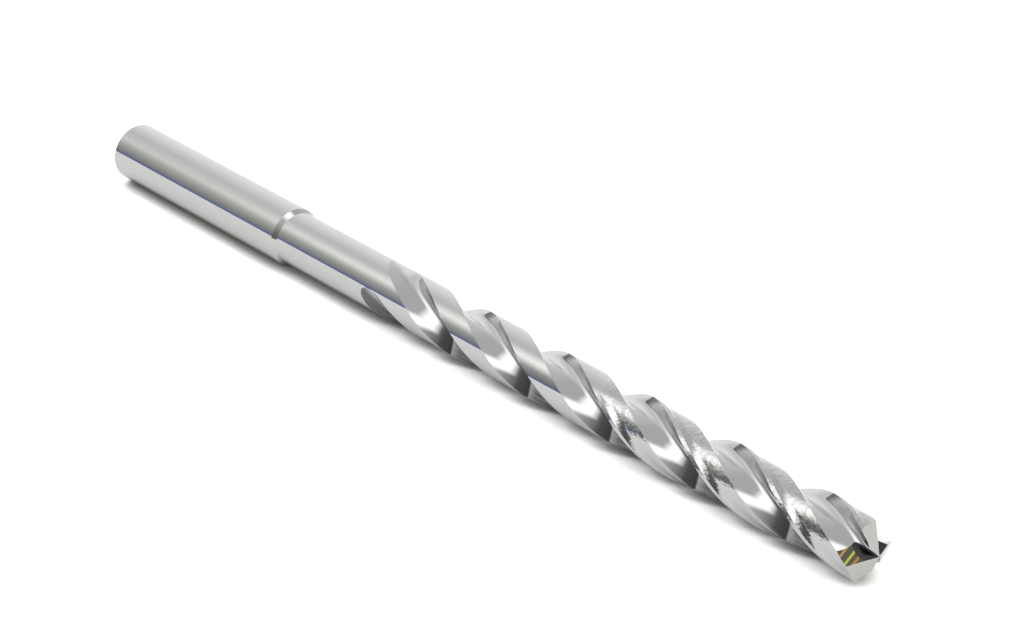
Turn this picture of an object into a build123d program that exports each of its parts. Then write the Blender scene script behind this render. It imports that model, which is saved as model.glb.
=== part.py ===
import os
from math import cos, hypot, radians, sin, tan

from build123d import *

os.makedirs("parts", exist_ok=True)

# Carbide twist drill with three flutes, right hand. Its axis is the X axis and its
# point looks towards +X. The shapes are drawn with the shank's end at x = 0, and the
# finished drill is moved so that the shank's front edge is at the origin.
# All sizes in mm, angles in degrees.

# shank
shank_diameter = 8.0
shank_length = 36.0
shank_end_chamfer = 0.4

# body
drill_diameter = 7.55
body_diameter = 7.2
step_length = 0.7
body_taper_start = 97.0
body_taper_length = 2.5
overall_length = 139.5

# flutes
flute_count = 3
flute_lead = 43.1
point_turn = 248.12
flute_width = 68.8
heel_radius = 3.5
rake_hook = 1.0
heel_lean = 30.2
valley_radius = 1.1
flute_start = 54.6
run_out_length = 14.4
run_out_steps = 12
run_out_overshoot = 1.03
flattest = 0.93

# cleared land behind each margin
cleared_diameter = 7.0
margin_width = 8.4
land_overlap = 4.0
clearance_start = 96.5
clearance_fade = 3.0
clearance_steps = 3
clearance_lift = 0.02

# point
lip_slope = 20.0
lip_relief = 19.5
heel_slope = 53.7
heel_slope_turn = 113.4
heel_facet_start = 20.0
heel_facet_end = 85.0
thinning_turn = 18.3
gash_start = -0.2
gash_middle = 1.4
gash_root_turn = 13.0
gash_slope = 55.5
gash_wall_angle = 70.0
gash_root_radius = 0.2
gash_wheel_radius = 8.0
gash_wall_height = 5.0

# room that the cutting shapes have outside the bar
spare = 1.5

shank_radius = shank_diameter / 2
drill_radius = drill_diameter / 2
body_radius = body_diameter / 2
cleared_radius = cleared_diameter / 2
land_turn = 360 / flute_count
land_width = land_turn - flute_width
turn_per_mm = 360 / flute_lead
cutter_reach = 2 * drill_radius

# full flute section: the leading corner lies on the section's x axis, the rake wall
# runs from it almost straight towards the axis, the long heel wall comes back out
# leaning towards the lip, and a fillet joins them
rake_angle = radians(180 + rake_hook)
heel_angle = radians(flute_width + 180 + heel_lean)
corner = Vector(drill_radius, 0)
heel = Vector(heel_radius * cos(radians(flute_width)), heel_radius * sin(radians(flute_width)))
across = heel - corner
rake_run = across.X * sin(heel_angle) - across.Y * cos(heel_angle)
rake_run = rake_run / sin(heel_angle - rake_angle)
valley = corner + Vector(cos(rake_angle), sin(rake_angle)) * rake_run

# how far the section's floor is from the axis, and from its chord
rake_line = corner - valley
heel_line = heel - valley
half_opening = rake_line.get_angle(heel_line) / 2
middle = (rake_line.normalized() + heel_line.normalized()).normalized()
floor_centre = valley + middle * (valley_radius / sin(radians(half_opening)))
floor_radius = floor_centre.length - valley_radius
chord_middle = (corner + heel) / 2
outwards = chord_middle.normalized()


def section_plane(x):
    """Plane across the axis at x, turned with the helix."""
    turn = radians(point_turn + turn_per_mm * (x - overall_length))
    return Plane(origin=(x, 0, 0), x_dir=(0, cos(turn), sin(turn)), z_dir=(1, 0, 0))


# one turned bar: shank with its end chamfer, step, slimmer body, cutting diameter
with BuildPart() as bar:
    with BuildSketch(Plane.XZ):
        with BuildLine():
            Polyline(
                (0, 0),
                (0, shank_radius - shank_end_chamfer),
                (shank_end_chamfer, shank_radius),
                (shank_length, shank_radius),
                (shank_length + step_length, body_radius),
                (body_taper_start, body_radius),
                (body_taper_start + body_taper_length, drill_radius),
                (overall_length + spare, drill_radius),
                (overall_length + spare, 0),
                close=True,
            )
        make_face()
    revolve(axis=Axis.X)

# one full-depth flute, twisted from the end of the run-out to past the point
run_out_end = flute_start + run_out_length
flute_travel = overall_length + spare - run_out_end
with BuildPart() as flute:
    with BuildSketch(section_plane(run_out_end)) as flute_section:
        with BuildLine():
            Polyline(
                corner + rake_line.normalized() * spare,
                valley,
                heel + heel_line.normalized() * spare,
                close=True,
            )
        make_face()
        bottom = flute_section.vertices().sort_by(lambda v: hypot(v.X, v.Y))[0]
        fillet(bottom, radius=valley_radius)
    with BuildLine() as flute_path:
        Line((run_out_end, 0, 0), (run_out_end + flute_travel, 0, 0))
    with BuildLine() as flute_guide:
        Helix(flute_lead, flute_travel, drill_radius, (run_out_end, 0, 0), (1, 0, 0))
    sweep(path=flute_path.edge(), binormal=flute_guide.edge())

# the grinding wheel's run-out: going back along the flute its valley rises on the
# wheel's arc until the floor is nearly flat, then the flat climbs out of the bar
full_climb = body_radius - floor_radius
wheel_arc = run_out_length ** 2 / 2 / full_climb
flat_climb = chord_middle.length - floor_radius
with BuildPart() as run_out:
    for step in range(run_out_steps + 1):
        back = run_out_length * run_out_overshoot * step / run_out_steps
        climb = back ** 2 / 2 / wheel_arc
        fill = min(climb / flat_climb, 1) * flattest
        lift = outwards * max(climb - flat_climb, 0)
        floor = valley + (chord_middle - valley) * fill
        rake_side = corner - floor
        heel_side = heel - floor
        bend = radians(180 - rake_side.get_angle(heel_side))
        widest = 0.8 * min(rake_side.length, heel_side.length) / tan(bend / 2)
        with BuildSketch(section_plane(run_out_end - back)) as run_out_section:
            with BuildLine():
                Polyline(
                    corner + rake_side.normalized() * spare + lift,
                    floor + lift,
                    heel + heel_side.normalized() * spare + lift,
                    heel + heel_side.normalized() * spare + lift + outwards * 2 * spare,
                    corner + rake_side.normalized() * spare + lift + outwards * 2 * spare,
                    close=True,
                )
            make_face()
            bottom = run_out_section.vertices().sort_by(lambda v: hypot(v.X, v.Y))[0]
            fillet(bottom, radius=valley_radius + (widest - valley_radius) * fill)
    loft()

# clearance behind one margin: it fades in over a short way, then follows the helix
cleared_span = margin_width - land_width - land_overlap
fade_from = body_radius + clearance_lift
with BuildPart() as clearance_entry:
    for step in range(clearance_steps + 1):
        share = step / clearance_steps
        with BuildSketch(section_plane(clearance_start + clearance_fade * share)):
            with BuildLine():
                inner = fade_from + (cleared_radius - fade_from) * share
                low = CenterArc((0, 0), inner, -margin_width, cleared_span)
                high = CenterArc((0, 0), drill_radius + spare, -margin_width, cleared_span)
                Line(low @ 0, high @ 0)
                Line(low @ 1, high @ 1)
            make_face()
    loft()

clearance_end = clearance_start + clearance_fade
clearance_travel = overall_length + spare - clearance_end
with BuildPart() as clearance:
    with BuildSketch(section_plane(clearance_end)):
        with BuildLine():
            low = CenterArc((0, 0), cleared_radius, -margin_width, cleared_span)
            high = CenterArc((0, 0), drill_radius + spare, -margin_width, cleared_span)
            Line(low @ 0, high @ 0)
            Line(low @ 1, high @ 1)
        make_face()
    with BuildLine() as clearance_path:
        Line((clearance_end, 0, 0), (clearance_end + clearance_travel, 0, 0))
    with BuildLine() as clearance_guide:
        Helix(flute_lead, clearance_travel, drill_radius, (clearance_end, 0, 0), (1, 0, 0))
    sweep(path=clearance_path.edge(), binormal=clearance_guide.edge())

# one land's own plane at the point: x goes to its outer corner, y to its flute
corner_drop = drill_radius * tan(radians(lip_slope))
corner_plane = section_plane(overall_length - corner_drop)
land_plane = corner_plane.offset(corner_drop)

# first flank: it holds the lip and falls away behind it
with BuildPart() as flank:
    flank_lean = (tan(radians(lip_slope)), -tan(radians(lip_relief)), 1)
    with Locations(land_plane.location * Plane(origin=(0, 0, 0), z_dir=flank_lean).location):
        Box(
            2 * cutter_reach,
            2 * cutter_reach,
            cutter_reach,
            align=(Align.CENTER, Align.CENTER, Align.MIN),
        )

# second flank: a steeper facet at the heel of the land
with BuildPart() as heel_flank:
    with BuildSketch(land_plane.offset(spare)):
        first = radians(heel_facet_start)
        last = radians(heel_facet_end)
        Polygon(
            (0, 0),
            (cutter_reach * cos(first), -cutter_reach * sin(first)),
            (cutter_reach * cos(last), -cutter_reach * sin(last)),
            align=None,
        )
    extrude(amount=-cutter_reach - spare)
    steep = tan(radians(heel_slope))
    heel_lean_dir = (
        steep * cos(radians(heel_slope_turn)),
        -steep * sin(radians(heel_slope_turn)),
        1,
    )
    facet = Plane(land_plane.location * Plane(origin=(0, 0, 0), z_dir=heel_lean_dir).location)
    split(bisect_by=facet, keep=Keep.TOP)

# web thinning: a wheel with a V edge sinks in from the centre down into the flute,
# one of its sides along the lip; its lowest point is the middle of the groove
with BuildPart() as gash:
    thin = radians(thinning_turn)
    lip_drop = tan(radians(lip_slope)) * cos(thin) - tan(radians(lip_relief)) * sin(thin)
    lip = Vector(cos(thin), sin(thin), -lip_drop)
    slope = radians(gash_slope)
    root_turn = radians(gash_root_turn)
    root = Vector(cos(root_turn) * cos(slope), sin(root_turn) * cos(slope), -sin(slope))
    lip_wall = (lip - root * lip.dot(root)).normalized()
    half_wall = radians(gash_wall_angle / 2)
    to_hub = lip_wall * cos(half_wall) - root.cross(lip_wall) * sin(half_wall)
    lowest = lip * gash_start + root * gash_middle
    wheel_plane = Plane(origin=lowest, x_dir=to_hub, z_dir=root)
    gash_plane = Plane(land_plane.location * wheel_plane.location)
    with BuildSketch(gash_plane) as gash_section:
        Polygon(
            (0, 0),
            (gash_wall_height * cos(half_wall), gash_wall_height * sin(half_wall)),
            (gash_wall_height * cos(half_wall), -gash_wall_height * sin(half_wall)),
            align=None,
        )
        groove = gash_section.vertices().sort_by(lambda v: hypot(v.X, v.Y))[0]
        fillet(groove, radius=gash_root_radius)
    hub = gash_plane.from_local_coords(Vector(gash_wheel_radius, 0, 0))
    revolve(axis=Axis(hub, gash_plane.y_dir))

# the drill: every cut is repeated once for each flute
with BuildPart() as ground_form:
    add(bar.part)
    for land in range(flute_count):
        turned = (land * land_turn, 0, 0)
        add(run_out.part, rotation=turned, mode=Mode.SUBTRACT)
        add(flute.part, rotation=turned, mode=Mode.SUBTRACT)
        add(clearance_entry.part, rotation=turned, mode=Mode.SUBTRACT)
        add(clearance.part, rotation=turned, mode=Mode.SUBTRACT)
    for land in range(flute_count):
        turned = (land * land_turn, 0, 0)
        add(flank.part, rotation=turned, mode=Mode.SUBTRACT)
        add(heel_flank.part, rotation=turned, mode=Mode.SUBTRACT)
        add(gash.part, rotation=turned, mode=Mode.SUBTRACT)

with BuildPart() as drill_bit:
    with Locations((-shank_length, 0, 0)):
        add(ground_form.part)

drill_bit.part.label = "drill_bit"
export_step(drill_bit.part, "parts/drill_bit.step")
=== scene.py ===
import math

import bpy
import bmesh
import numpy as np
from mathutils import Matrix, Vector


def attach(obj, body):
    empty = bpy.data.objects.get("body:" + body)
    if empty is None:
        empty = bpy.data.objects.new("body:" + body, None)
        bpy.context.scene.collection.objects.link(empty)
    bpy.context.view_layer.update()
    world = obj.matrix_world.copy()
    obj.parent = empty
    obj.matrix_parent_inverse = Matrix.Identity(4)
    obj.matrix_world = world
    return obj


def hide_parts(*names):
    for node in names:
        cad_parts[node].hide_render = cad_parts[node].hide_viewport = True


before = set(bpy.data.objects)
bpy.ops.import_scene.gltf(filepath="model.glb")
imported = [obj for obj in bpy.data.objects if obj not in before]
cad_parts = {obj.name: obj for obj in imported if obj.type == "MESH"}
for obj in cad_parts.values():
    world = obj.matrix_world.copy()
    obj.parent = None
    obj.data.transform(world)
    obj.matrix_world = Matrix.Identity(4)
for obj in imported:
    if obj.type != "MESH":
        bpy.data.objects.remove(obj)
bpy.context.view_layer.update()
scene = bpy.context.scene
mm = 0.001
print("frame loaded", sorted(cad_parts))


def hexColour(text, alpha=1.0):
    parts = [int(text[i:i + 2], 16) / 255 for i in (1, 3, 5)]
    line = [c / 12.92 if c <= 0.04045 else ((c + 0.055) / 1.055) ** 2.4 for c in parts]
    return (*line, alpha)


def node(tree, kind, settings=None, inputs=None, links=None):
    made = tree.nodes.new(kind)
    for name, value in (settings or {}).items():
        setattr(made, name, value)
    for name, value in (inputs or {}).items():
        made.inputs[name].default_value = value
    for name, source in (links or {}).items():
        tree.links.new(source, made.inputs[name])
    return made


# the drill in mm and degrees, x counted from the shank's end
drill = dict(
    shank=4.0, shankLong=36.0, chamfer=0.4, step=0.7,  # radius of the shank, its length, its two ends
    body=3.6, cleared=3.5, cutting=3.775,  # radii of the body, behind the margins, at the cutting corners
    length=139.5, lead=43.1, turn=248.12,  # overall, flute lead, turn of the first lip
    flute=68.8, heel=3.5, hook=1.0, heelLean=30.2, valley=1.1,  # full flute section
    start=54.6, ahead=0.45, runOut=14.4, flattest=0.93, roundest=0.8,  # how the flute leaves the body
    taper=97.0, taperLong=2.5,  # where the body widens to the cutting part
    margin=8.4, marginFoot=45.0, marginFull=12.0, marginShare=0.2,  # margin's width, slope run per mm
    clearFrom=96.5, clearLong=3.0, clearLift=0.02,  # where the land behind the margin drops
)
cols = dict(flute=36, land=20, margin=5)  # columns of faces across each strip
lineSteps = dict(arc=241, wall=400, reach=5.0)  # points on the flute line, before it is cut to length
tipFrom = 132.0  # from here on the point is cut as a closed solid


def unit(v):
    return v / np.linalg.norm(v)


def turned(angle):
    return np.array([math.cos(math.radians(angle)), math.sin(math.radians(angle))])


# full flute section: corner of the lip side, heel, and the point where the two walls meet
corner = drill["cutting"] * turned(0)
heel = drill["heel"] * turned(drill["flute"])
rakeWay = turned(180 + drill["hook"])
heelWay = turned(drill["flute"] + 180 + drill["heelLean"])
run = np.cross(heel - corner, heelWay) / np.cross(rakeWay, heelWay)
valley = corner + rakeWay * run
halfOpen = math.acos(unit(corner - valley) @ unit(heel - valley)) / 2
bisector = unit(unit(corner - valley) + unit(heel - valley))
floorCentre = valley + bisector * drill["valley"] / math.sin(halfOpen)
floorRadius = np.linalg.norm(floorCentre) - drill["valley"]
chord = (corner + heel) / 2
outwards = unit(chord)
wheelArc = drill["runOut"] ** 2 / 2 / (drill["body"] - floorRadius)
flatClimb = np.linalg.norm(chord) - floorRadius


def fluteLine(x):  # the ground line from outside the lip side to outside the heel side
    back = max(drill["start"] + drill["runOut"] - x, 0.0)
    climb = back * back / 2 / wheelArc
    fill = min(climb / flatClimb, 1.0) * drill["flattest"]
    low = valley + (chord - valley) * fill
    longA, longB = np.linalg.norm(corner - low), np.linalg.norm(heel - low)
    a, b = (corner - low) / longA, (heel - low) / longB
    half = math.acos(a @ b) / 2
    widest = drill["roundest"] * min(longA, longB) * math.tan(half)
    radius = drill["valley"] + (widest - drill["valley"]) * fill
    reach = radius / math.tan(half)
    low = low + outwards * max(climb - flatClimb, 0.0)
    centre = low + unit(a + b) * radius / math.sin(half)
    p, q = low + a * reach - centre, low + b * reach - centre
    first = math.atan2(p[1], p[0])
    sweep = (math.atan2(q[1], q[0]) - first + math.pi) % (2 * math.pi) - math.pi
    angles = first + sweep * np.linspace(0, 1, lineSteps["arc"])
    arc = centre + radius * np.stack([np.cos(angles), np.sin(angles)], 1)
    far = np.linspace(lineSteps["reach"], 0, lineSteps["wall"])[:-1, None]
    return np.concatenate([arc[0] + a * far, arc, arc[-1] + b * far[::-1]])


def crossing(line, radii, k, side, radius):  # walks outwards from the lowest point k
    while radii[k] < radius:
        k += side
    share = (radius - radii[k - side]) / (radii[k] - radii[k - side])
    return k, line[k - side] + (line[k] - line[k - side]) * share


def outerRadius(x):
    d = drill
    if x < d["shankLong"] + d["step"]:
        return float(np.interp(x, [0, d["chamfer"], d["shankLong"], d["shankLong"] + d["step"]],
                               [d["shank"] - d["chamfer"], d["shank"], d["shank"], d["body"]]))
    return float(np.interp(x, [d["taper"], d["taper"] + d["taperLong"]], [d["body"], d["cutting"]]))


def clearedRadius(x):
    share = min((x - drill["clearFrom"]) / drill["clearLong"], 1.0)
    fade = drill["body"] + drill["clearLift"]
    return min(outerRadius(x), fade + (drill["cleared"] - fade) * share) if share > 0 else outerRadius(x)


def section(x):  # the land before one flute, its margin, and the flute
    outer, cleared = outerRadius(x), clearedRadius(x)
    line = fluteLine(x)
    radii = np.hypot(line[:, 0], line[:, 1])
    k = int(radii.argmin())
    if x < drill["start"] - drill["ahead"] or radii[k] >= cleared:  # plain round bar
        middle = math.atan2(chord[1], chord[0])
        lip = end = outer * np.array([math.cos(middle), math.sin(middle)])
        flute = np.repeat(lip[None], cols["flute"] + 1, 0)
    else:
        i, lip = crossing(line, radii, k, -1, outer)
        j, end = crossing(line, radii, k, 1, cleared)
        path = np.concatenate([lip[None], line[i + 1:j], end[None]])
        far = np.concatenate([[0], np.cumsum(np.linalg.norm(np.diff(path, axis=0), axis=1))])
        want = np.linspace(0, far[-1], cols["flute"] + 1)
        flute = np.stack([np.interp(want, far, path[:, 0]), np.interp(want, far, path[:, 1])], 1)
    lipAt = math.degrees(math.atan2(lip[1], lip[0]))
    endAt = math.degrees(math.atan2(end[1], end[0])) - 120
    marginAt = lipAt - drill["margin"]
    if x <= drill["start"] + drill["marginFull"]:
        marginAt = lipAt + (endAt - lipAt) * drill["marginShare"]
    foot = marginAt - drill["marginFoot"] * (outer - cleared)
    land = [cleared * turned(a) for a in np.linspace(endAt, foot, cols["land"] + 1)]
    margin = [outer * turned(a) for a in np.linspace(marginAt, lipAt, cols["margin"] + 1)]
    return np.concatenate([land[1:], margin, flute[1:]])


def ring(x):  # the whole section, turned with the helix, in the frame's own place
    at = max(x, drill["start"] - drill["ahead"])  # the plain part isn't turned any further
    shape = section(x)
    points = []
    for k in range(3):
        a = math.radians(drill["turn"] + 360 / drill["lead"] * (at - drill["length"]) + 120 * k)
        c, s = math.cos(a), math.sin(a)
        for y, z in shape:
            points.append(Vector((x - drill["shankLong"], y * c - z * s, y * s + z * c)) * mm)
    return points


def kinds():  # what each strip of faces between two columns belongs to
    land = ["land"] * cols["land"] + ["edge"] + ["land"] * cols["margin"]
    return (land + ["flute"] * cols["flute"]) * 3


slots = dict(land=0, flute=1, flank=2, heel=3, gash=4)


def gridMesh(xs, capStart, capEnd):  # its grain map runs in centimetres along x, and by thirds of a turn
    bm = bmesh.new()
    uv = bm.loops.layers.uv.new("grain")
    rows = [[bm.verts.new(p) for p in ring(x)] for x in xs]
    strips = kinds()
    count = len(strips)
    for r in range(len(xs) - 1):
        for c in range(count):
            d = (c + 1) % count
            # strip c joins the column before it to its own
            face = bm.faces.new((rows[r][c - 1], rows[r][c], rows[r + 1][c], rows[r + 1][c - 1]))
            face.smooth = True
            face.material_index = slots["flute" if strips[c] == "flute" else "land"]
            across = (c % (count // 3)) / (count // 3)
            for loop, u, v in zip(face.loops, (0, 1, 1, 0), (r, r, r + 1, r + 1)):
                loop[uv].uv = (xs[v] * 0.1, across + u * 3 / count)
    for want, row, way in ((capStart, rows[0], -1), (capEnd, rows[-1], 1)):
        if want:
            face = bm.faces.new(row[::-way])
            face.material_index = slots["flank"]
            for loop in face.loops:
                loop[uv].uv = (loop.vert.co.y / mm * 0.1, loop.vert.co.z / mm * 0.1)
    bmesh.ops.remove_doubles(bm, verts=bm.verts, dist=1e-8)
    bmesh.ops.recalc_face_normals(bm, faces=bm.faces)
    return bm


# places of the rings in mm: few on the plain bar, closest where the flutes leave it
rings = dict(
    shank=[2, 6, 12, 18, 24, 30], neck=[40, 44, 48, 52],
    fine=0.05, fineTo=56.5, middle=0.1, middleTo=60.0, helical=0.25, tip=0.2, spare=1.01,
)
d = drill
plain = [0, d["chamfer"], *rings["shank"], d["shankLong"], d["shankLong"] + d["step"], *rings["neck"]]
runOut = list(np.arange(d["start"] - d["ahead"], rings["fineTo"], rings["fine"]))
runOut += list(np.arange(rings["fineTo"], rings["middleTo"], rings["middle"]))
helical = list(np.arange(rings["middleTo"], tipFrom, rings["helical"])) + [tipFrom]
tip = list(np.arange(tipFrom, d["length"] + rings["spare"], rings["tip"]))
bodyMesh = gridMesh(plain + runOut + helical, True, False)
tipMesh = gridMesh(tip, True, True)
print("body", len(bodyMesh.faces), "tip", len(tipMesh.faces))

# the point's ground planes, in a land's own frame: x to its corner, y to its flute, z along the axis
point = dict(
    lip=20.0, relief=19.5,  # slope of the lip, and of the flank behind it
    heelSlope=53.7, heelTurn=113.4, heelFrom=20.0, heelTo=85.0, heelGrain=24.0,  # facet behind the flank
    heelApex=(0.003, -0.002, 0.004), heelHigh=(1.5, 3.0),  # off the axis, so no cutters share a point
    thin=18.3, gashStart=-0.2, gashMiddle=1.4, gashTurn=13.0, gashSlope=55.5,  # path of the gash's root
    gashWall=70.0, gashRoot=0.2, gashWheel=8.0, gashHigh=5.0, gashSteps=180, gashRound=9,  # the wheel
)
tan = {k: math.tan(math.radians(point[k])) for k in ("lip", "relief", "heelSlope")}
tipPoint = Vector(((drill["length"] - drill["shankLong"]) * mm, 0, 0))


def landFrame(k):
    drop = d["cutting"] * tan["lip"]
    a = math.radians(d["turn"] - 360 / d["lead"] * drop + 120 * k)
    xWay, yWay = Vector((0, math.cos(a), math.sin(a))), Vector((0, -math.sin(a), math.cos(a)))
    place = Matrix((xWay, yWay, Vector((1, 0, 0)))).transposed().to_4x4()
    return Matrix.Translation(tipPoint) @ place @ Matrix.Scale(mm, 4)


def grainOn(face, uv, along):  # centimetres from the tip, the first axis along one way in the face's plane
    flat = (along - face.normal * along.dot(face.normal)).normalized()
    side = face.normal.cross(flat)
    for loop in face.loops:
        arm = (loop.vert.co - tipPoint) / mm * 0.1
        loop[uv].uv = (arm.dot(flat), arm.dot(side))


def cutPlane(bm, k):
    place = landFrame(k)
    normal = (place.to_3x3() @ Vector((tan["lip"], -tan["relief"], 1))).normalized()
    lip = place.to_3x3() @ Vector((1, 0, -tan["lip"]))
    geom = bm.verts[:] + bm.edges[:] + bm.faces[:]
    cut = bmesh.ops.bisect_plane(bm, geom=geom, dist=1e-9, plane_co=place.translation,
                                 plane_no=normal, clear_outer=True)
    rim = [e for e in cut["geom_cut"] if isinstance(e, bmesh.types.BMEdge)]
    made = bmesh.ops.contextual_create(bm, geom=rim)
    uv = bm.loops.layers.uv["grain"]
    for face in made["faces"]:
        face.material_index = slots["flank"]
        face.normal_update()
        grainOn(face, uv, lip)


for k in range(3):
    cutPlane(tipMesh, k)
bmesh.ops.recalc_face_normals(tipMesh, faces=tipMesh.faces)
print("flanks cut", len(tipMesh.faces))


def meshObject(name, bm):
    mesh = bpy.data.meshes.new(name)
    bm.to_mesh(mesh)
    bm.free()
    made = bpy.data.objects.new(name, mesh)
    scene.collection.objects.link(made)
    return made


def solidFrom(name, verts, faces, place, along):  # name is also its slot
    bm = bmesh.new()
    uv = bm.loops.layers.uv.new("grain")
    vs = [bm.verts.new(place @ Vector(v)) for v in verts]
    for f in faces:
        face = bm.faces.new([vs[i] for i in f])
        face.material_index = slots[name]
        face.normal_update()
        grainOn(face, uv, along)
    bmesh.ops.recalc_face_normals(bm, faces=bm.faces)
    return meshObject(name, bm)


def heelWedge(k):
    place = landFrame(k)
    reach = 2 * d["cutting"]
    turn = math.radians(point["heelTurn"])
    lean = (tan["heelSlope"] * math.cos(turn), -tan["heelSlope"] * math.sin(turn))
    outer = [(reach * turned(-point[key])) for key in ("heelFrom", "heelTo")]
    low = [point["heelApex"]] + [(x, y, -(lean[0] * x + lean[1] * y)) for x, y in outer]
    high = [(x, y, point["heelHigh"][min(n, 1)]) for n, (x, y, z) in enumerate(low)]
    faces = [(0, 1, 2), (3, 4, 5), (0, 1, 4, 3), (1, 2, 5, 4), (2, 0, 3, 5)]
    grain = math.radians(point["heelGrain"])
    along = place.to_3x3() @ Vector((math.cos(grain), -math.sin(grain), 0))
    return solidFrom("heel", low + high, faces, place, along)


def gashWheel(k):
    place = landFrame(k)
    thin, slope, rootTurn = (math.radians(point[key]) for key in ("thin", "gashSlope", "gashTurn"))
    lipDrop = tan["lip"] * math.cos(thin) - tan["relief"] * math.sin(thin)
    lip = Vector((math.cos(thin), math.sin(thin), -lipDrop))
    flat = math.cos(slope)
    root = Vector((math.cos(rootTurn) * flat, math.sin(rootTurn) * flat, -math.sin(slope)))
    wall = (lip - root * lip.dot(root)).normalized()
    half = math.radians(point["gashWall"] / 2)
    hub = wall * math.cos(half) - root.cross(wall) * math.sin(half)
    side = root.cross(hub)
    lowest = lip * point["gashStart"] + root * point["gashMiddle"]
    # V profile with a small round at its edge: distance from the edge, and sideways
    r = point["gashRoot"]
    centre = r / math.sin(half)
    bend = math.pi / 2 - half
    bends = np.linspace(-bend, bend, point["gashRound"])
    rounded = [(centre - r * math.cos(t), r * math.sin(t)) for t in bends]
    far = point["gashHigh"] * math.cos(half), point["gashHigh"] * math.sin(half)
    profile = [(far[0], -far[1])] + rounded + [far]
    axisAt = lowest + hub * point["gashWheel"]
    steps = point["gashSteps"]
    verts, faces = [], []
    for s in range(steps):
        a = 2 * math.pi * s / steps
        spoke = -hub * math.cos(a) + root * math.sin(a)
        for u, w in profile:
            verts.append(axisAt + spoke * (point["gashWheel"] - u) + side * w)
    n = len(profile)
    for s in range(steps):
        for p in range(n):
            q = (p + 1) % n
            t = (s + 1) % steps
            faces.append((s * n + p, s * n + q, t * n + q, t * n + p))
    return solidFrom("gash", verts, faces, place, place.to_3x3() @ root)


tipObject = meshObject("tip", tipMesh)
for k in range(3):
    for maker in (heelWedge, gashWheel):
        cutter = maker(k)
        mod = tipObject.modifiers.new("cut", "BOOLEAN")
        mod.operation, mod.solver, mod.object = "DIFFERENCE", "EXACT", cutter
        bpy.context.view_layer.objects.active = tipObject
        bpy.ops.object.modifier_apply(modifier="cut")
        bpy.data.objects.remove(cutter)
print("tip cut", len(tipObject.data.polygons))

# the point goes back on the body, without the face it was closed with
bm = bodyMesh
edgeAt = (tipFrom - d["shankLong"]) * mm
sharp = math.radians(22)
tipBack = bmesh.new()
tipBack.from_mesh(tipObject.data)
back = [f for f in tipBack.faces if all(abs(v.co.x - edgeAt) < 1e-7 for v in f.verts)]
bmesh.ops.delete(tipBack, geom=back, context="FACES")
tipBack.to_mesh(tipObject.data)
tipBack.free()
bm.from_mesh(tipObject.data)
bpy.data.objects.remove(tipObject)
bmesh.ops.remove_doubles(bm, verts=bm.verts, dist=2e-8)
bmesh.ops.triangulate(bm, faces=[f for f in bm.faces if len(f.verts) > 4])
for edge in bm.edges:
    if len(edge.link_faces) == 2:
        a, b = edge.link_faces
        bent = a.normal.angle(b.normal, 0) > sharp
        edge.smooth = not (bent or a.material_index != b.material_index)
for face in bm.faces:
    face.smooth = True
drillBit = meshObject("drillBit", bm)
print("drill", len(drillBit.data.polygons), "faces")


# fine lines are as wide as the picture can show; the real wheel marks are about a tenth of that
finish = {
    "cylindrically ground tungsten carbide": dict(  # even mirror with faint rings, it reads as round
        colour="#cacac8", rough=0.055, lines=(0.16, 6.0), lift=0.0003, wave=0.003, wear=0.1),
    "flute-ground tungsten carbide": dict(  # streaks along the flute, they comb the edge of every highlight
        colour="#cecece", rough=0.075, lines=(4.0, 0.14), lift=0.0016, wave=0.003, wear=0.0),
    "point-ground tungsten carbide": dict(  # flat facets with straight wheel marks, plain and pale
        colour="#c4c4c0", rough=0.12, lines=(3.0, 0.12), lift=0.0008, wave=0.0, wear=0.0),
    "coarse-ground tungsten carbide": dict(  # painted reflection: broad marks that catch yellow and green light, dark between
        colour="#5a5a4e", rough=0.16, lines=(3.0, 0.12), lift=0.0008, wave=0.0, wear=0.0),
    "wheel-cut tungsten carbide": dict(  # the gash, a dark notch in front view, its shade painted into the colour
        colour="#444244", rough=0.2, lines=(3.0, 0.12), lift=0.0008, wave=0.0, wear=0.0),
}
slowWave = 2 * mm  # width of the waves that bend the bands a little
scuffWide = 1 * mm  # width of the blotches on the worn lands
wornFrom, wornFull = 9.3, 10.2  # centimetres from the shank's end
# painted reflection in stripes of colour on the heel facet: mm from the tip, half width, colour
paintedStripes = [(0.68, 0.22, "#7fb07a"), (1.75, 0.2, "#b98a48"), (2.48, 0.2, "#bfc058"), (3.4, 0.18, "#c09a60")]


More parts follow.
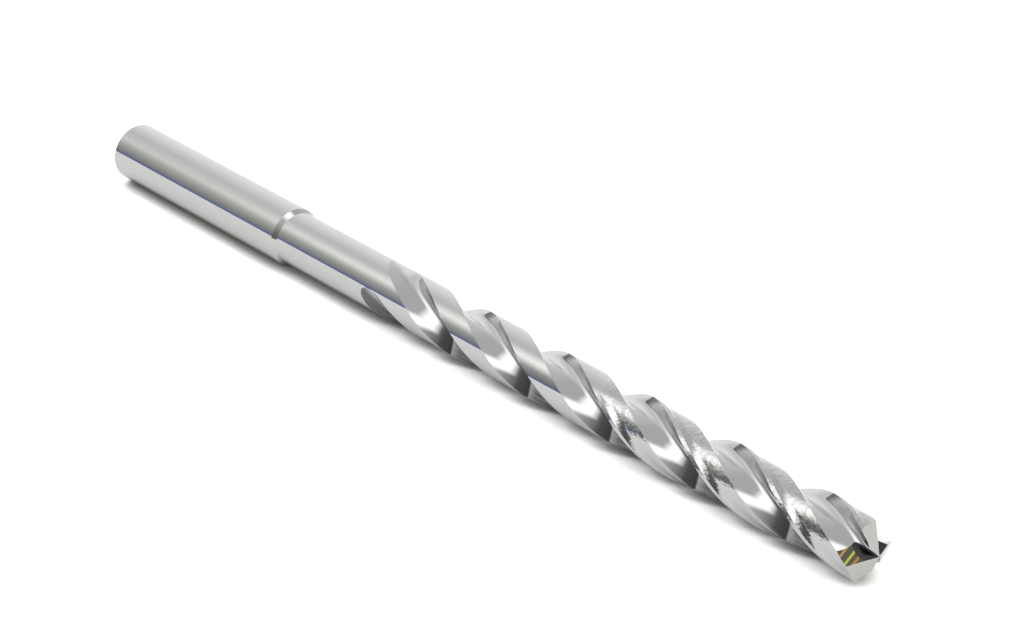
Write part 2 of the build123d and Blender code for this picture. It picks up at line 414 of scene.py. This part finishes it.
def carbide(name, look):  # bright carbide with the grain its wheel left
    mat = bpy.data.materials.new(name)
    mat.use_nodes = True
    tree = mat.node_tree
    shader = tree.nodes["Principled BSDF"]
    shader.inputs["Base Color"].default_value = hexColour(look["colour"])
    shader.inputs["Metallic"].default_value = 1.0
    shader.inputs["Roughness"].default_value = look["rough"]
    grain = node(tree, "ShaderNodeUVMap", {"uv_map": "grain"})
    place = node(tree, "ShaderNodeTexCoord")
    long, wide = look["lines"]
    stretch = node(tree, "ShaderNodeMapping", inputs={"Scale": (10 / long, 10 / wide, 1)},
                   links={"Vector": grain.outputs["UV"]})
    lines = node(tree, "ShaderNodeTexNoise", inputs={"Scale": 1.0, "Detail": 3.0, "Roughness": 0.6},
                 links={"Vector": stretch.outputs["Vector"]})
    bump = node(tree, "ShaderNodeBump", inputs={"Strength": 1.0, "Distance": look["lift"] * mm},
                links={"Height": lines.outputs["Fac"]})
    if look["wave"]:
        slow = node(tree, "ShaderNodeTexNoise", inputs={"Scale": 1 / slowWave, "Detail": 1.0},
                    links={"Vector": place.outputs["Object"]})
        bump = node(tree, "ShaderNodeBump", inputs={"Strength": 1.0, "Distance": look["wave"] * mm},
                    links={"Height": slow.outputs["Fac"], "Normal": bump.outputs["Normal"]})
    if look["wear"]:  # the scuffed lands of the last 45 mm
        split = node(tree, "ShaderNodeSeparateXYZ", links={"Vector": grain.outputs["UV"]})
        front = node(tree, "ShaderNodeMapRange", {"clamp": True},
                     {"From Min": wornFrom, "From Max": wornFull}, {"Value": split.outputs["X"]})
        scuffs = node(tree, "ShaderNodeTexNoise",
                      inputs={"Scale": 1 / scuffWide, "Detail": 4.0, "Roughness": 0.6},
                      links={"Vector": place.outputs["Object"]})
        worn = node(tree, "ShaderNodeMath", {"operation": "MULTIPLY"},
                    links={0: scuffs.outputs["Fac"], 1: front.outputs["Result"]})
        bump = node(tree, "ShaderNodeBump", inputs={"Strength": 1.0, "Distance": look["wear"] * mm},
                    links={"Height": worn.outputs[0], "Normal": bump.outputs["Normal"]})
    tree.links.new(bump.outputs["Normal"], shader.inputs["Normal"])
    return mat


for name, look in finish.items():
    drillBit.data.materials.append(carbide(name, look))

# painted shade where the flutes face down and towards the point, in place of their dark reflections, in
# streaks 4 mm long and about 0.2 mm wide
fluteShade = dict(
    streaks=(2.5, 45, 1), dark="#504c50", pale="#8a878a", darkTo=0.36, paleFrom=0.66,
    upNone=0.55, upFull=0.15,  # how far the face may look up
    frontNone=-0.1, frontFull=0.15,  # how far it looks towards the point
)
tree = bpy.data.materials["flute-ground tungsten carbide"].node_tree
grain = node(tree, "ShaderNodeUVMap", {"uv_map": "grain"})
stretch = node(tree, "ShaderNodeMapping", inputs={"Scale": fluteShade["streaks"]},
               links={"Vector": grain.outputs["UV"]})
streaks = node(tree, "ShaderNodeTexNoise", inputs={"Scale": 1.0, "Detail": 3.0, "Roughness": 0.7},
               links={"Vector": stretch.outputs["Vector"]})
facing = node(tree, "ShaderNodeNewGeometry")
facingSplit = node(tree, "ShaderNodeSeparateXYZ", links={"Vector": facing.outputs["Normal"]})
under = node(tree, "ShaderNodeMapRange", {"clamp": True},
             {"From Min": fluteShade["upNone"], "From Max": fluteShade["upFull"]}, {"Value": facingSplit.outputs["Z"]})
forward = node(tree, "ShaderNodeMapRange", {"clamp": True},
               {"From Min": fluteShade["frontNone"], "From Max": fluteShade["frontFull"]},
               {"Value": facingSplit.outputs["X"]})
shadedShare = node(tree, "ShaderNodeMath", {"operation": "MULTIPLY"},
               links={0: under.outputs["Result"], 1: forward.outputs["Result"]})
shadeStreaks = node(tree, "ShaderNodeValToRGB", links={"Fac": streaks.outputs["Fac"]})
darkStop, paleStop = shadeStreaks.color_ramp.elements
darkStop.position, darkStop.color = fluteShade["darkTo"], hexColour(fluteShade["dark"])
paleStop.position, paleStop.color = fluteShade["paleFrom"], hexColour(fluteShade["pale"])
unshaded = hexColour(finish["flute-ground tungsten carbide"]["colour"])
# painted shade: the flute's colour turns to the dark streaks where it faces down
shadedFlute = node(tree, "ShaderNodeMixRGB", inputs={"Color1": unshaded},
              links={"Fac": shadedShare.outputs[0], "Color2": shadeStreaks.outputs["Color"]})
tree.links.new(shadedFlute.outputs["Color"], tree.nodes["Principled BSDF"].inputs["Base Color"])

# painted reflection: stripes of colour across the heel facet, where its coarse marks split the light
tree = bpy.data.materials["coarse-ground tungsten carbide"].node_tree
grain = node(tree, "ShaderNodeUVMap", {"uv_map": "grain"})
split = node(tree, "ShaderNodeSeparateXYZ", links={"Vector": grain.outputs["UV"]})
far = node(tree, "ShaderNodeMath", {"operation": "ABSOLUTE"}, links={0: split.outputs["Y"]})
ramp = node(tree, "ShaderNodeValToRGB")
tree.links.new(far.outputs[0], ramp.inputs["Fac"])
stops = ramp.color_ramp.elements
points = []
base = finish["coarse-ground tungsten carbide"]["colour"]
for at, half, colour in paintedStripes:
    points += [(at - half, base), (at - half * 0.3, colour), (at + half * 0.3, colour), (at + half, base)]
while len(stops) < len(points):
    stops.new(0.5)
for stop, (at, colour) in zip(stops, points):
    stop.position = at * 0.1
    stop.color = hexColour(colour)
tree.links.new(ramp.outputs["Color"], tree.nodes["Principled BSDF"].inputs["Base Color"])

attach(drillBit, "root")
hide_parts("drill_bit")
print("finishes", len(finish))


# white sheet under the drill
card = dict(
    reach=3.0, level=-drill["shank"] * mm, close=3 * mm,  # how near the drill has to be for the painted shadow
    dark="#939190", pale="#e0e0e0", darkTo=0.25, paleFrom=0.62, toCamera=1.45, toMetal=0.5,
)
sheet = bpy.data.meshes.new("sheet")
ways = ((-1, -1), (1, -1), (1, 1), (-1, 1))
corners = [(x * card["reach"], y * card["reach"], card["level"]) for x, y in ways]
sheet.from_pydata(corners, [], [(0, 1, 2, 3)])
floor = bpy.data.objects.new("sheet", sheet)
scene.collection.objects.link(floor)
paper = bpy.data.materials.new("matte white card with painted shadow")
paper.use_nodes = True
tree = paper.node_tree
tree.nodes.remove(tree.nodes["Principled BSDF"])
closed = node(tree, "ShaderNodeAmbientOcclusion", {"samples": 16}, {"Distance": card["close"]})
# painted shadow: the card's colour darkens where the drill is close, as under light from above only
shade = node(tree, "ShaderNodeValToRGB", links={"Fac": closed.outputs["AO"]})
darkStop, paleStop = shade.color_ramp.elements
darkStop.position, darkStop.color = card["darkTo"], hexColour(card["dark"])
paleStop.position, paleStop.color = card["paleFrom"], hexColour(card["pale"])
matt = node(tree, "ShaderNodeBsdfDiffuse", links={"Color": shade.outputs["Color"]})
seen = node(tree, "ShaderNodeLightPath")
# the card is white to the camera where most of the sky reaches it, and the metal sees it just white
toMetal = node(tree, "ShaderNodeMath", {"operation": "MULTIPLY"}, {1: card["toMetal"]},
               {0: seen.outputs["Is Glossy Ray"]})
more = node(tree, "ShaderNodeMath", {"operation": "MULTIPLY_ADD"}, {1: card["toCamera"]},
            {0: seen.outputs["Is Camera Ray"], 2: toMetal.outputs[0]})
glow = node(tree, "ShaderNodeVectorMath", {"operation": "SCALE"},
            links={"Vector": shade.outputs["Color"], "Scale": more.outputs[0]})
extra = node(tree, "ShaderNodeBsdfDiffuse", links={"Color": glow.outputs["Vector"]})
whole = node(tree, "ShaderNodeAddShader", links={0: matt.outputs[0], 1: extra.outputs[0]})
tree.links.new(whole.outputs[0], tree.nodes["Material Output"].inputs["Surface"])
sheet.materials.append(paper)
print("sheet laid")

# studio round the drill: three walls, from the shank's end to the point's end, and a long soft box
# greys run round the drill's axis: 0 degrees is the table on the near side, 90 the ceiling, 180 the far side
studio = dict(
    strength=1.65, low=-30.0, high=210.0,
    toMiddle=(-0.66, -0.5), toPoint=(0.14, 0.5),  # where one wall gives way to the next, along the drill
    walls=(
        [(-1, "#c8c8c8"), (1, "#4a5aa0"), (8, "#707478"),  # a blue gap lies at the table's edge
         (40, "#a4a4a0"), (60, "#c8c8c8"), (100, "#b8b8b8"), (150, "#d4d4d4")],
        [(24, "#4c4c4c"), (70, "#a4a4a4"), (130, "#a4a4a4"), (180, "#c0c0c0")],
        [(10, "#8c8c8c"), (50, "#c4c4c4"), (90, "#d0d0d0"), (130, "#b8b8b8"), (180, "#c8c8c8")],
    ),
)
softBox = dict(
    colour="#f8f8f8", gain=1.5, core=2.0, edge=28.0,  # degrees from its middle line
    low=60.0, high=102.0, climb=(-0.15, 0.15),  # it hangs higher towards the point
    fadeIn=(-0.74, -0.48), fadeOut=(0.18, 0.5),
)
world = bpy.data.worlds.new("studio")
scene.world = world
world.use_nodes = True
tree = world.node_tree
back = tree.nodes["Background"]
sky = node(tree, "ShaderNodeTexCoord")
split = node(tree, "ShaderNodeSeparateXYZ", links={"Vector": sky.outputs["Generated"]})
near = node(tree, "ShaderNodeMath", {"operation": "MULTIPLY"}, {1: -1.0}, {0: split.outputs["Y"]})
around = node(tree, "ShaderNodeMath", {"operation": "ARCTAN2"},
              links={0: split.outputs["Z"], 1: near.outputs[0]})
degrees = node(tree, "ShaderNodeMath", {"operation": "MULTIPLY"}, {1: 180 / math.pi},
               {0: around.outputs[0]})
# the jump of the angle lies straight below the drill, where the sheet hides it
wrapped = node(tree, "ShaderNodeMath", {"operation": "WRAP"}, {1: 270.0, 2: -90.0}, {0: degrees.outputs[0]})
place = node(tree, "ShaderNodeMapRange", {"clamp": True},
             {"From Min": studio["low"], "From Max": studio["high"]}, {"Value": wrapped.outputs[0]})
sides = []
for greys in studio["walls"]:
    ramp = node(tree, "ShaderNodeValToRGB", links={"Fac": place.outputs["Result"]})
    stops = ramp.color_ramp.elements
    while len(stops) < len(greys):
        stops.new(0.5)
    for stop, (angle, grey) in zip(stops, greys):
        stop.position = (angle - studio["low"]) / (studio["high"] - studio["low"])
        stop.color = hexColour(grey)
    sides.append(ramp.outputs["Color"])
room = sides[0]
for side, (start, end) in zip(sides[1:], (studio["toMiddle"], studio["toPoint"])):
    along = node(tree, "ShaderNodeMapRange", {"clamp": True}, {"From Min": start, "From Max": end},
                 {"Value": split.outputs["X"]})
    blend = node(tree, "ShaderNodeMixRGB",
                 links={"Fac": along.outputs["Result"], "Color1": room, "Color2": side})
    room = blend.outputs["Color"]

start, end = softBox["climb"]
middle = node(tree, "ShaderNodeMapRange", {"clamp": True},
              {"From Min": start, "From Max": end, "To Min": softBox["low"], "To Max": softBox["high"]},
              {"Value": split.outputs["X"]})
aside = node(tree, "ShaderNodeMath", {"operation": "SUBTRACT"},
             links={0: wrapped.outputs[0], 1: middle.outputs["Result"]})
away = node(tree, "ShaderNodeMath", {"operation": "ABSOLUTE"}, links={0: aside.outputs[0]})
across = node(tree, "ShaderNodeMapRange", {"clamp": True},
              {"From Min": softBox["edge"], "From Max": softBox["core"]}, {"Value": away.outputs[0]})
lit = across.outputs["Result"]
for start, end in (softBox["fadeIn"], softBox["fadeOut"][::-1]):
    fade = node(tree, "ShaderNodeMapRange", {"clamp": True}, {"From Min": start, "From Max": end},
                {"Value": split.outputs["X"]})
    share = node(tree, "ShaderNodeMath", {"operation": "MULTIPLY"},
                 links={0: lit, 1: fade.outputs["Result"]})
    lit = share.outputs[0]
white = tuple(softBox["gain"] * c for c in hexColour(softBox["colour"])[:3])
lamps = node(tree, "ShaderNodeMixRGB", inputs={"Color2": (*white, 1.0)},
             links={"Fac": lit, "Color1": room})
tree.links.new(lamps.outputs["Color"], back.inputs["Color"])
back.inputs["Strength"].default_value = studio["strength"]
print("studio", len(sides), "walls and a soft box")

# camera in front of the point, on the near side and above
shot = dict(
    lens=100.78, sensor=36, near=0.01, far=20,
    place=(0.27183, -0.20629, 0.17422), yaw=137.931, pitch=-28.62,
)
camera = bpy.data.cameras.new("camera")
camera.lens, camera.sensor_width = shot["lens"], shot["sensor"]
camera.clip_start, camera.clip_end = shot["near"], shot["far"]
camObject = bpy.data.objects.new("camera", camera)
scene.collection.objects.link(camObject)
camObject.location = shot["place"]
yaw, pitch = math.radians(shot["yaw"]), math.radians(shot["pitch"])
aim = Vector((math.cos(pitch) * math.cos(yaw), math.cos(pitch) * math.sin(yaw), math.sin(pitch)))
camObject.rotation_euler = aim.to_track_quat("-Z", "Y").to_euler()
scene.camera = camObject

scene.view_settings.view_transform = "Standard"
